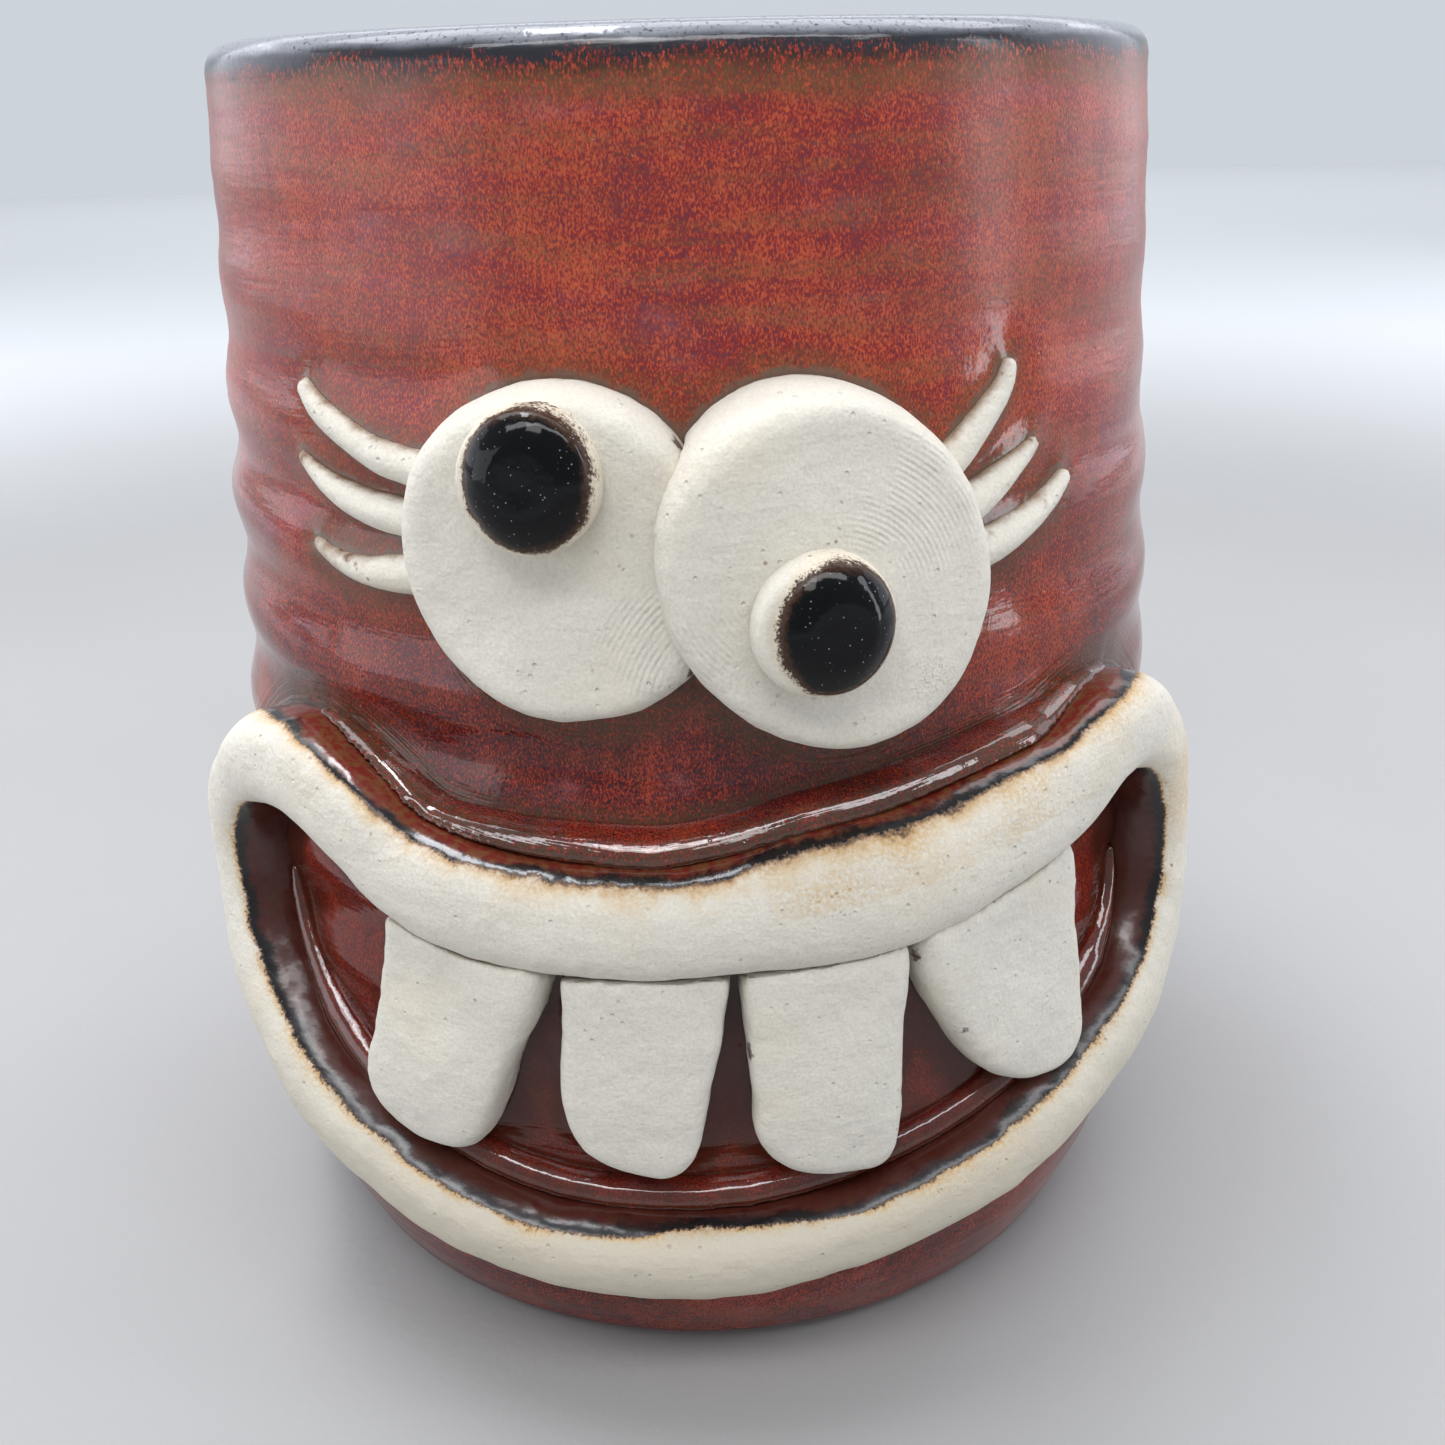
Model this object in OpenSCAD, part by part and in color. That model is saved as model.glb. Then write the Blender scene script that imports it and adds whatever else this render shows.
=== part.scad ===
// Wheel-thrown stoneware cup with a goofy clay face: two overlapping eye discs, glazed pupil
// pellets, coiled eyelashes, a wide coiled mouth and four slab teeth. The face looks along -Y.
// Millimetres, +Z up, origin at the centre of the foot, on the surface that the cup stands on.

/* [Pot] */
// Height of the pot, foot to rim
pot_h = 124.5; // [115:0.5:135]
// Outer radius of the wall just under the rim
rim_r = 45.2; // [43:0.2:48]
// Greatest outer radius of the wall
belly_r = 51.8; // [50:0.2:54]
// Height of the widest part of the wall
belly_z = 33; // [26:1:38]
// Radius of the flat foot
foot_r = 43; // [41:0.5:45]
// Thickness of the wall
wall_t = 5; // [4:0.5:6]
// Thickness of the floor
floor_t = 6.5; // [5:0.5:8]
// Rise from one throwing ring to the next
ring_pitch = 10.4; // [8:0.2:13]
// Height of a throwing ring above the grooves beside it
ring_depth = 0.9; // [0:0.1:1.2]

/* [Eyes] */
// Thickness of an eye disc
eye_t = 5.5; // [4:0.5:7]
// Thickness of a pupil pellet
pupil_t = 2.4; // [1.5:0.2:3.5]
// How far the right eye's left side is lifted by the left eye under it
eye_lift = 3; // [1:0.2:3.6]
// Width of an eyelash at its root
lash_w = 3.2; // [2.6:0.2:4]
// Thickness of an eyelash at its root
lash_t = 1.9; // [1.2:0.1:2.4]

/* [Mouth] */
// Thickness of the lips on the wall
lip_t = 6.6; // [5.5:0.1:7.5]
// Thickness of the teeth on the wall
tooth_t = 5; // [4:0.2:5.4]
// Thickness of the seam coil above the upper lip
upper_seam_t = 3.4; // [2:0.2:4]
// Thickness of the seam coil inside the mouth
inner_seam_t = 2.2; // [1.6:0.2:3]
// Width of the seam coils
seam_w = 2.4; // [1.8:0.2:3]

/* [Hidden] */

glaze_red = "#8c3a31";
clay_white = "#ddd8c8";
glaze_black = "#15161a";

$fn = 128;

// The face lies on the wall, so its outlines are given in degrees round the pot, positive to the
// viewer's right, and millimetres up from the foot. Widths in millimetres hold at face_r.
face_r = 54;
mm_per_deg = face_r * PI / 180;

// ---- the wall ----
rim_rad = wall_t / 2;               // the rim is a full round
wall_top = pot_h - rim_rad;
profile_step = 2.6;                 // four flats to a throwing ring
foot_ease = 2.5;                    // power of the curve from the foot to the belly
ring_fade = [8, 24, 88, 104];       // heights at which the throwing rings grow and die away

function clamp01(v) = min(1, max(0, v));
function ramp(v, lo, hi) = clamp01((v - lo) / (hi - lo));
function ring_amount(z) =
    ramp(z, ring_fade[0], ring_fade[1]) * (1 - 0.75 * ramp(z, ring_fade[2], ring_fade[3]));
function plain_r(z) =
    z < belly_z
    ? foot_r + (belly_r - foot_r) * sqrt(1 - pow(clamp01((belly_z - z) / belly_z), foot_ease))
    : belly_r - (belly_r - rim_r) * (z - belly_z) / (wall_top - belly_z);
// outer radius of the wall at a height
function wall_r(z) = plain_r(z) + ring_depth / 2 * ring_amount(z) * cos(360 * z / ring_pitch);
// A point at az degrees and height z, h above the wall. What lies on the wall follows its
// throwing rings with its back but not with its front.
function on_wall(az, z, h) = let (r = (h > 0 ? plain_r(z) : wall_r(z)) + h)
    [r * sin(az), -r * cos(az), z];

// ---- smooth curves through chosen points ----
function spline(a, b, c, d, t) =
    0.5 * (2 * b + (c - a) * t + (2 * a - 5 * b + 4 * c - d) * t * t
           + (3 * b - a - 3 * c + d) * t * t * t);
function loop_curve(p, n) = let (m = len(p))
    [for (i = [0:m - 1], k = [0:n - 1])
        spline(p[(i + m - 1) % m], p[i], p[(i + 1) % m], p[(i + 2) % m], k / n)];
function open_curve(p, n) = let (m = len(p))
    concat([for (i = [0:m - 2], k = [0:n - 1])
        spline(p[max(0, i - 1)], p[i], p[i + 1], p[min(m - 1, i + 2)], k / n)], [p[m - 1]]);

// ---- a coil laid along the wall ----
// Unit vectors along and across the path at station i, in millimetres on the wall
function unit(v) = v / norm(v);
function along(p, i, shut) = let (m = len(p),
    a = shut ? p[(i + m - 1) % m] : p[max(0, i - 1)],
    b = shut ? p[(i + 1) % m] : p[min(m - 1, i + 1)])
    unit([(b[0] - a[0]) * mm_per_deg, b[1] - a[1]]);
function across(t) = [-t[1], t[0]];
// One ring of the coil: section points are [distance across, height above the wall]
function coil_ring(p, i, shut, section) = let (n = across(along(p, i, shut)))
    [for (s = section) on_wall(p[i][0] + s[0] * n[0] / mm_per_deg, p[i][1] + s[0] * n[1], s[1])];

// skin over a list of rings, closed by a cap at each end
module skin(rings) {
    m = len(rings);
    k = len(rings[0]);
    polyhedron(
        points = [for (r = rings) each r],
        faces = concat(
            [[for (j = [0:k - 1]) j]],
            [for (i = [0:m - 2], j = [0:k - 1]) let (q = (j + 1) % k)
                each [[i * k + j, (i + 1) * k + j, i * k + q],
                      [i * k + q, (i + 1) * k + j, (i + 1) * k + q]]],
            [[for (j = [k - 1:-1:0]) (m - 1) * k + j]]
        ),
        convexity = 8
    );
}

// ---- a slab or disc pressed onto the wall ----
// The edge is rounded in steps of [share of the outline, share of the thickness].
pad_back = [0.3, 0.65];
pad_front = [[1, 0], [1.01, 0.4], [0.985, 0.72], [0.93, 0.93], [0.85, 1], [0.6, 1.01], [0.3, 1.02]];

// outline: [degrees, height] points; thick: its thickness; foot: a function that gives the height
// above the wall that it starts from; rise: one that gives the share of its thickness at a point;
// root: depth below the wall, for a shape that cuts another
module pad(outline, thick, foot = function(az, z) 0, rise = function(az, z) 1, root = 0) {
    middle = [for (c = [0, 1]) let (v = [for (p = outline) p[c]]) (min(v) + max(v)) / 2];
    ring = function(share, lift) [for (p = outline) let (q = middle + share * (p - middle))
        on_wall(q[0], q[1], foot(q[0], q[1]) + lift * thick * rise(q[0], q[1]))];
    skin(concat([for (s = pad_back) ring(s, -root / thick)],
                [for (f = pad_front) ring(f[0], f[1])]));
}

// ---- the pot ----
corner_r = 9;                       // round corner between the wall and the floor
corner_side_r = belly_r - wall_t - 1;   // radius of the hollow where that corner starts

module pot() {
    outer = [for (z = [0:profile_step:wall_top]) [wall_r(z), z]];
    rim = [for (a = [0:20:180])
        [wall_r(wall_top) - rim_rad + rim_rad * cos(a), wall_top + rim_rad * sin(a)]];
    inside = [for (a = [0:15:90])
        [corner_side_r - corner_r * (1 - cos(a)), floor_t + corner_r * (1 - sin(a))]];
    color(glaze_red)
        rotate_extrude()
            polygon(concat([[0, 0]], outer, rim, [[belly_r - wall_t, belly_z]], inside,
                           [[0, floor_t]]));
}

// ---- eyes ----
function oval(centre, half_w, half_h, tilt, n = 36) = [for (i = [0:n - 1])
    let (x = half_w * cos(360 * i / n), y = half_h * sin(360 * i / n))
    centre + [(x * cos(tilt) - y * sin(tilt)) / mm_per_deg, x * sin(tilt) + y * cos(tilt)]];

left_eye_at = [-11.6, 86.5];
right_eye_at = [11.9, 85];
left_pupil_at = [-13.1, 93.4];
right_pupil_at = [9.9, 82.4];
right_eye_span = 29;                // degrees from the right eye's left side to its right side
pupil_r = 5.6;
pupil_sink = 0.4;                   // the pellets are pressed a little into the discs
cut_root = 2;                       // depth below the wall of a shape that cuts another

// The right disc rises towards its left side, where it lies on the left one.
function right_rise(az) =
    1 + eye_lift / eye_t * clamp01(0.5 + (right_eye_at[0] - az) / right_eye_span);

module left_eye_shape(root = cut_root) pad(oval(left_eye_at, 14.6, 13.1, -25), eye_t,
    root = root);
module right_eye_shape(root = cut_root) pad(oval(right_eye_at, 13.7, 15.7, 46), eye_t,
    rise = function(az, z) right_rise(az), root = root);

module left_eye() {
    color(clay_white) left_eye_shape(root = 0);
}

module right_eye() {
    color(clay_white) difference() {
        right_eye_shape(root = 0);
        left_eye_shape();
    }
}

module left_pupil() {
    color(glaze_black) difference() {
        pad(oval(left_pupil_at, pupil_r, pupil_r, 0, 24), pupil_t + pupil_sink,
            foot = function(az, z) eye_t - pupil_sink);
        left_eye_shape();
    }
}

module right_pupil() {
    color(glaze_black) difference() {
        pad(oval(right_pupil_at, pupil_r, pupil_r, 0, 24), pupil_t + pupil_sink,
            foot = function(az, z) eye_t * right_rise(az) - pupil_sink);
        right_eye_shape();
    }
}

// ---- eyelashes: tapering coils from the eye's edge to a tip ----
// Half-round section of a lash, wide and thick as given
function half_round(wide, thick) =
    [for (a = [0:30:180]) [wide / 2 * cos(a), thick * sin(a)]];

module lash(path, cut_by_left) {
    p = open_curve(path, 3);
    m = len(p);
    rings = [for (i = [0:m - 1]) let (size = 1 - 0.62 * pow(i / (m - 1), 1.5))
        coil_ring(p, i, false, half_round(lash_w * size, lash_t * size))];
    color(clay_white) difference() {
        skin(rings);
        if (cut_by_left) left_eye_shape(); else right_eye_shape();
    }
}

module left_lash_top() lash([[-23.5, 91.8], [-27.4, 92.2], [-32, 92.9], [-37, 94.5], [-41, 96.1],
    [-43.4, 97.8]], true);
module left_lash_middle() lash([[-24, 87.8], [-29.6, 88], [-34, 88.4], [-38, 89.2], [-41.4, 90.3],
    [-44.6, 91.8]], true);
module left_lash_bottom() lash([[-24.5, 83.8], [-30, 83.3], [-35, 83], [-39.4, 83.4],
    [-43, 84.5]], true);
module right_lash_top() lash([[22.5, 90], [26, 91.8], [29, 93.9], [31.6, 95.8], [33.3, 97.3],
    [34, 98.9]], false);
module right_lash_middle() lash([[24, 86.6], [29, 88.1], [32.4, 89.5], [35, 90.7],
    [37.5, 91.9]], false);
module right_lash_bottom() lash([[25, 83.6], [30, 84], [33.4, 84.7], [36.6, 85.6], [40, 86.8],
    [42.8, 88.3]], false);

// ---- lips ----
// Path round the mouth, clockwise from the left corner: [degrees, height, width of the lip,
// how far its outer edge leans out over its root]
upper_path = [
    [-55.8, 60, 9.4, 0.4], [-50.8, 63, 10.2, 1], [-44.4, 64.2, 11.4, 1.8], [-38.8, 63.2, 12.6, 3],
    [-34, 61.1, 12.8, 3], [-29.5, 58.6, 13.2, 3], [-24.5, 57.1, 13.2, 2.4],
    [-18.5, 56, 12.6, 1.4], [-11.5, 55.4, 11.6, 0.4], [-4.5, 55.2, 10.8, 0], [3, 56.1, 12, 0.6],
    [10, 57, 13.4, 0.8], [18, 57.7, 13.8, 0.8], [26, 59.4, 13.9, 1.4], [33, 61, 13.7, 2],
    [38.8, 62.6, 13, 2.6], [44, 64.6, 11.8, 2.4], [49.5, 64.6, 10.8, 1.4], [54.3, 62.2, 10, 0.6]
];
lower_path = [
    [57.6, 58.6, 9.6, 0], [60, 53.5, 9.6, 0], [60.5, 47.5, 10, 0], [58.4, 41.4, 10.2, 0],
    [53.8, 36.3, 10.2, 0], [48, 32.4, 10.2, 0], [41, 29, 10, 0], [33, 26.1, 10, 0],
    [24, 23.7, 9.8, 0], [14, 21.7, 9.6, 0], [4, 20.3, 9.4, 0], [-6, 19.9, 9.4, 0],
    [-16, 20.3, 9.6, 0], [-25, 21.9, 9.8, 0], [-33, 24.4, 10, 0], [-41, 28, 10, 0],
    [-48, 32.6, 10, 0], [-54, 38.4, 10, 0], [-58.4, 45, 9.8, 0], [-60, 51.3, 9.6, 0],
    [-58.8, 56.2, 9.4, 0]
];
curve_n = 2;                        // stations to a chosen point
mouth = loop_curve(concat(upper_path, lower_path), curve_n);
upper_end = len(upper_path) * curve_n;
lip_power = 2.6;                    // squareness of a lip's section

// distance from a lip's middle to its side, h above the wall; side: 1 outer, -1 inner
function lip_side(p, h, side) = side * p[2] / 2 * pow(1 - pow(h / lip_t, lip_power), 1 / lip_power)
    - (side > 0 ? p[3] * (1 - h / lip_t) : 0);
// Section across a lip, from its outer side over the front to its inner side and along the wall
function lip_section(p, root) = concat(
    [for (a = [0:15:180]) let (h = lip_t * pow(sin(a), 2 / lip_power))
        [a == 90 ? 0 : lip_side(p, h, a < 90 ? 1 : -1), h]],
    [for (s = [-0.5, 0, 0.5]) [s * (p[2] - p[3]) - p[3] / 2, -root]]);

module lip(first, last, root = 0) {
    m = len(mouth);
    skin([for (i = [first:last]) coil_ring(mouth, i % m, true, lip_section(mouth[i % m], root))]);
}

module upper_lip() {
    color(clay_white) lip(0, upper_end);
}

module lower_lip() {
    color(clay_white) lip(upper_end, len(mouth));
}

// ---- seam coils, pressed into the corner between a lip and the wall ----
// side: 1 outside the mouth, -1 inside it
function seam_section(p, side, thick, wide, root) = let (
    touching = [for (q = [0, 0.5, 1]) let (h = q * thick) [side * lip_side(p, h, side), h]],
    free = [for (q = [[0.35, 1.05], [0.8, 0.8], [1, 0.35], [1, 0]])
        [touching[0][0] + q[0] * wide, q[1] * thick]],
    under = root > 0 ? [[touching[0][0] + wide / 2, -root]] : [],
    edge = concat(free, under, touching))
    side > 0 ? [for (i = [len(edge) - 1:-1:0]) edge[i]] : [for (q = edge) [-q[0], q[1]]];

module seam(first, last, side, thick, root = 0) {
    rings = [for (i = [first:last])
        let (size = 0.3 + 0.7 * min(1, (i - first) / 5, (last - i) / 5))
        coil_ring(mouth, i, true, seam_section(mouth[i], side, thick * size, seam_w * size, root))];
    skin(rings);
}

upper_seam_span = [4, upper_end - 4];
inner_seam_span = [upper_end + 4, len(mouth) - 5];

module upper_lip_seam() {
    color(glaze_red) seam(upper_seam_span[0], upper_seam_span[1], 1, upper_seam_t);
}

module inner_lip_seam() {
    color(glaze_red) seam(inner_seam_span[0], inner_seam_span[1], -1, inner_seam_t);
}

// ---- teeth: slabs hung under the upper lip ----
module tooth(corners) {
    color(clay_white) difference() {
        pad(loop_curve(corners, 3), tooth_t);
        lip(0, upper_end, cut_root);
        seam(inner_seam_span[0], inner_seam_span[1], -1, inner_seam_t, cut_root);
    }
}

module tooth_far_left() tooth([[-31, 56], [-32.6, 48], [-34.6, 40], [-36, 34.6], [-33.4, 31],
    [-28, 29.6], [-23.4, 30.6], [-20.8, 35], [-17.6, 43], [-14.6, 52], [-16, 57], [-24, 59]]);
module tooth_left() tooth([[-13.6, 55], [-14, 47], [-14.4, 39], [-13.4, 33.6], [-9.6, 30.6],
    [-4.6, 29.4], [-1.6, 32], [0, 39], [1.6, 46], [2, 55], [-6, 58]]);
module tooth_right() tooth([[2.8, 55], [3, 47], [3.4, 39], [4.2, 33], [7.6, 29.6], [13, 28.4],
    [16.8, 29.2], [17.8, 35], [18.2, 45], [18.4, 55], [10, 58]]);
module tooth_far_right() tooth([[19.4, 56], [20.4, 47.6], [24, 40.4], [28, 35.2], [33, 32.4],
    [38.6, 32.2], [41.2, 35.4], [40.6, 41], [39, 48], [38, 57], [29, 61]]);

pot();
left_eye();
right_eye();
left_pupil();
right_pupil();
left_lash_top();
left_lash_middle();
left_lash_bottom();
right_lash_top();
right_lash_middle();
right_lash_bottom();
upper_lip();
lower_lip();
upper_lip_seam();
inner_lip_seam();
tooth_far_left();
tooth_left();
tooth_right();
tooth_far_right();
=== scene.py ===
"""A wheel-thrown stoneware cup with a grinning face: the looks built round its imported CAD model."""
import itertools
import math

import bmesh
import bpy
import numpy as np
from mathutils import Matrix, Vector
from mathutils.bvhtree import BVHTree


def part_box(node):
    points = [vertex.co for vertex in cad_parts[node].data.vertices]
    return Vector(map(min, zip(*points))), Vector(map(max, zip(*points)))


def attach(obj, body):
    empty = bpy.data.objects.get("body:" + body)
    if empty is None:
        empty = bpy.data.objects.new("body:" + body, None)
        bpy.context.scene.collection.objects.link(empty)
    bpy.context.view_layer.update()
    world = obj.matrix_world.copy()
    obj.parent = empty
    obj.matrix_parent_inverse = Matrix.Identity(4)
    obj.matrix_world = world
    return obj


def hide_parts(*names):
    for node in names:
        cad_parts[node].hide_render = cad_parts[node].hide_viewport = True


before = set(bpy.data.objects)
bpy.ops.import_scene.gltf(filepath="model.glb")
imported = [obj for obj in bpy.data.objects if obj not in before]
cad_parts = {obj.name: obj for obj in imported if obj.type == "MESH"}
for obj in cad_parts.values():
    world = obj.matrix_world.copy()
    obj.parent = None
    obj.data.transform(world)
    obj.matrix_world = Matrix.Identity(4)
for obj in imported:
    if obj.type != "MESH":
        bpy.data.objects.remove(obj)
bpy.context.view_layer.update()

MM = 0.001
CUP_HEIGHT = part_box("pot")[1].z
WALL = 5 * MM
FOOT_EDGE = 2.5 * MM  # radius of the rounded edge under the cup
FLOOR_CURVE = 8 * MM  # radius of the curve between the wall and the floor inside
FINGER_RING_PITCH = 10.4 * MM
MEAN_RADIUS = 52 * MM
MOUTH_HEART = 34 * MM  # height of the spot low in the mouth that its polar coordinates start from
GLAZE_THICKENS = (84 * MM, 74 * MM)  # heights between which the glaze turns thicker, going down
NEAR_REACH = 8 * MM  # the glaze's near field knows no distance beyond this

EYES = ("left_eye", "right_eye")
LASHES = [f"{side}_lash_{place}"
          for side in ("left", "right") for place in ("top", "middle", "bottom")]
LIPS = ("upper_lip", "lower_lip")
SEAMS = ("upper_lip_seam", "inner_lip_seam")
TEETH = ("tooth_far_left", "tooth_left", "tooth_right", "tooth_far_right")


# ---- arrays and noise ----

def points_of(mesh):
    """The mesh's vertices as rows of x, y, z."""
    co = np.empty(len(mesh.vertices) * 3)
    mesh.vertices.foreach_get("co", co)
    return co.reshape(-1, 3)


def set_points(mesh, co):
    mesh.vertices.foreach_set("co", np.ascontiguousarray(co, dtype=np.float32).ravel())
    mesh.update()


def normals_of(mesh):
    """Unit normals of the mesh's vertices."""
    flat = np.empty(len(mesh.vertices) * 3, np.float32)
    mesh.vertex_normals.foreach_get("vector", flat)
    return flat.reshape(-1, 3).astype(float)


def smoothstep(value, low, high):
    t = np.clip((value - low) / (high - low), 0, 1)
    return t * t * (3 - 2 * t)


HASH_AXES = np.array((374761393, 668265263, 1442695041))
HASH_SEED = 362437
HASH_STIR = 1274126177
HASH_TOP = 0xFFFF
LATTICE_SHIFT = 31.7  # in cells, so that no cell's edge lies in the cup's own planes


def lattice(cell, seed):
    """A repeatable random number from -1 to 1 for each integer cell."""
    h = cell @ HASH_AXES + seed * HASH_SEED
    h = (h ^ (h >> 13)) * HASH_STIR
    return ((h ^ (h >> 16)) & HASH_TOP) / (HASH_TOP / 2) - 1


def lumps(co, size, seed):
    """A smooth random field from -1 to 1 whose lumps are about size across, by axis if size is
    three numbers."""
    p = co / np.asarray(size) + LATTICE_SHIFT
    cell = np.floor(p).astype(np.int64)
    f = p - cell
    f = f * f * (3 - 2 * f)
    total = np.zeros(len(co))
    for corner in itertools.product((0, 1), repeat=3):
        weight = np.prod(np.where(corner, f, 1 - f), axis=1)
        total += weight * lattice(cell + np.array(corner), seed)
    return total


def radial(co):
    """Unit vectors from the cup's axis to each point, level with it."""
    out = co * (1, 1, 0)
    return out / np.maximum(np.linalg.norm(out, axis=1, keepdims=True), 1e-9)


def azimuth(co):
    """Angle round the cup from the middle of the face, positive to the viewer's right."""
    return np.arctan2(co[:, 0], -co[:, 1])


def axis_distance(co):
    return np.hypot(co[:, 0], co[:, 1])


# ---- mesh helpers ----

def cad_tree(*nodes):
    """One search tree over the faces of some CAD nodes."""
    verts, faces = [], []
    for node in nodes:
        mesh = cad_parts[node].data
        base = len(verts)
        verts += [v.co.copy() for v in mesh.vertices]
        faces += [[base + i for i in p.vertices] for p in mesh.polygons]
    return BVHTree.FromPolygons(verts, faces)


def distance_to(tree, co, reach):
    """Distance from each point to the tree's surface, no more than reach."""
    out = np.full(len(co), reach)
    for i, p in enumerate(co):
        found = tree.find_nearest(Vector(p), reach)
        if found[3] is not None:
            out[i] = found[3]
    return out


def set_field(mesh, name, values):
    """Store one number a vertex, for the material to read by name."""
    layer = mesh.attributes.new(name, "FLOAT", "POINT")
    layer.data.foreach_set("value", np.ascontiguousarray(values, dtype=np.float32))


def blurred(mesh, values, rounds):
    """Values a vertex, averaged with their neighbours' several times."""
    ends = np.empty(len(mesh.edges) * 2, np.int32)
    mesh.edges.foreach_get("vertices", ends)
    a, b = ends.reshape(-1, 2).T
    count = np.bincount(a, minlength=len(values)) + np.bincount(b, minlength=len(values))
    for _ in range(rounds):
        total = np.bincount(a, values[b], len(values)) + np.bincount(b, values[a], len(values))
        values = 0.5 * values + 0.5 * total / np.maximum(count, 1)
    return values


def link(name, data):
    """A new object in the scene that holds the given mesh, lamp or camera."""
    made = bpy.data.objects.new(name, data)
    bpy.context.scene.collection.objects.link(made)
    return made


def install(node, name, mesh, material):
    """Show the mesh as a smooth piece in place of a CAD node."""
    for p in mesh.polygons:
        p.use_smooth = True
    mesh.materials.append(material)
    piece = link(name, mesh)
    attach(piece, "root")
    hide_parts(node)


def remeshed(nodes, voxel, rounds):
    """The solids of some CAD nodes as one even fine mesh, with their facets smoothed away."""
    source = bmesh.new()
    for node in nodes:
        source.from_mesh(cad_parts[node].data)
    mesh = bpy.data.meshes.new("clay_source")
    source.to_mesh(mesh)
    source.free()
    temp = link("clay_source", mesh)
    grid = temp.modifiers.new("voxels", "REMESH")
    grid.mode = "VOXEL"
    grid.voxel_size = voxel
    soft = temp.modifiers.new("soften", "SMOOTH")
    soft.factor = 0.5
    soft.iterations = rounds
    bpy.context.view_layer.update()
    evaluated = temp.evaluated_get(bpy.context.evaluated_depsgraph_get())
    made = bpy.data.meshes.new_from_object(evaluated)
    bpy.data.objects.remove(temp)
    return made


def handled(mesh, seed, big, small, sink=0.8 * MM):
    """Give a clay piece its hand-made unevenness, big and small, and press its back into the
    wall."""
    co, n = points_of(mesh), normals_of(mesh)
    outward = radial(co)
    back = smoothstep(-np.sum(n * outward, axis=1), 0.25, 0.6)
    shift = big * lumps(co, 9 * MM, seed) + small * lumps(co, 3.1 * MM, seed + 1)
    shift += 0.4 * small * lumps(co, 1.3 * MM, seed + 2)
    co += n * (shift * (1 - back))[:, None] - outward * (sink * back)[:, None]
    set_points(mesh, co)
    return mesh


# ---- node material helper ----

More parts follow.
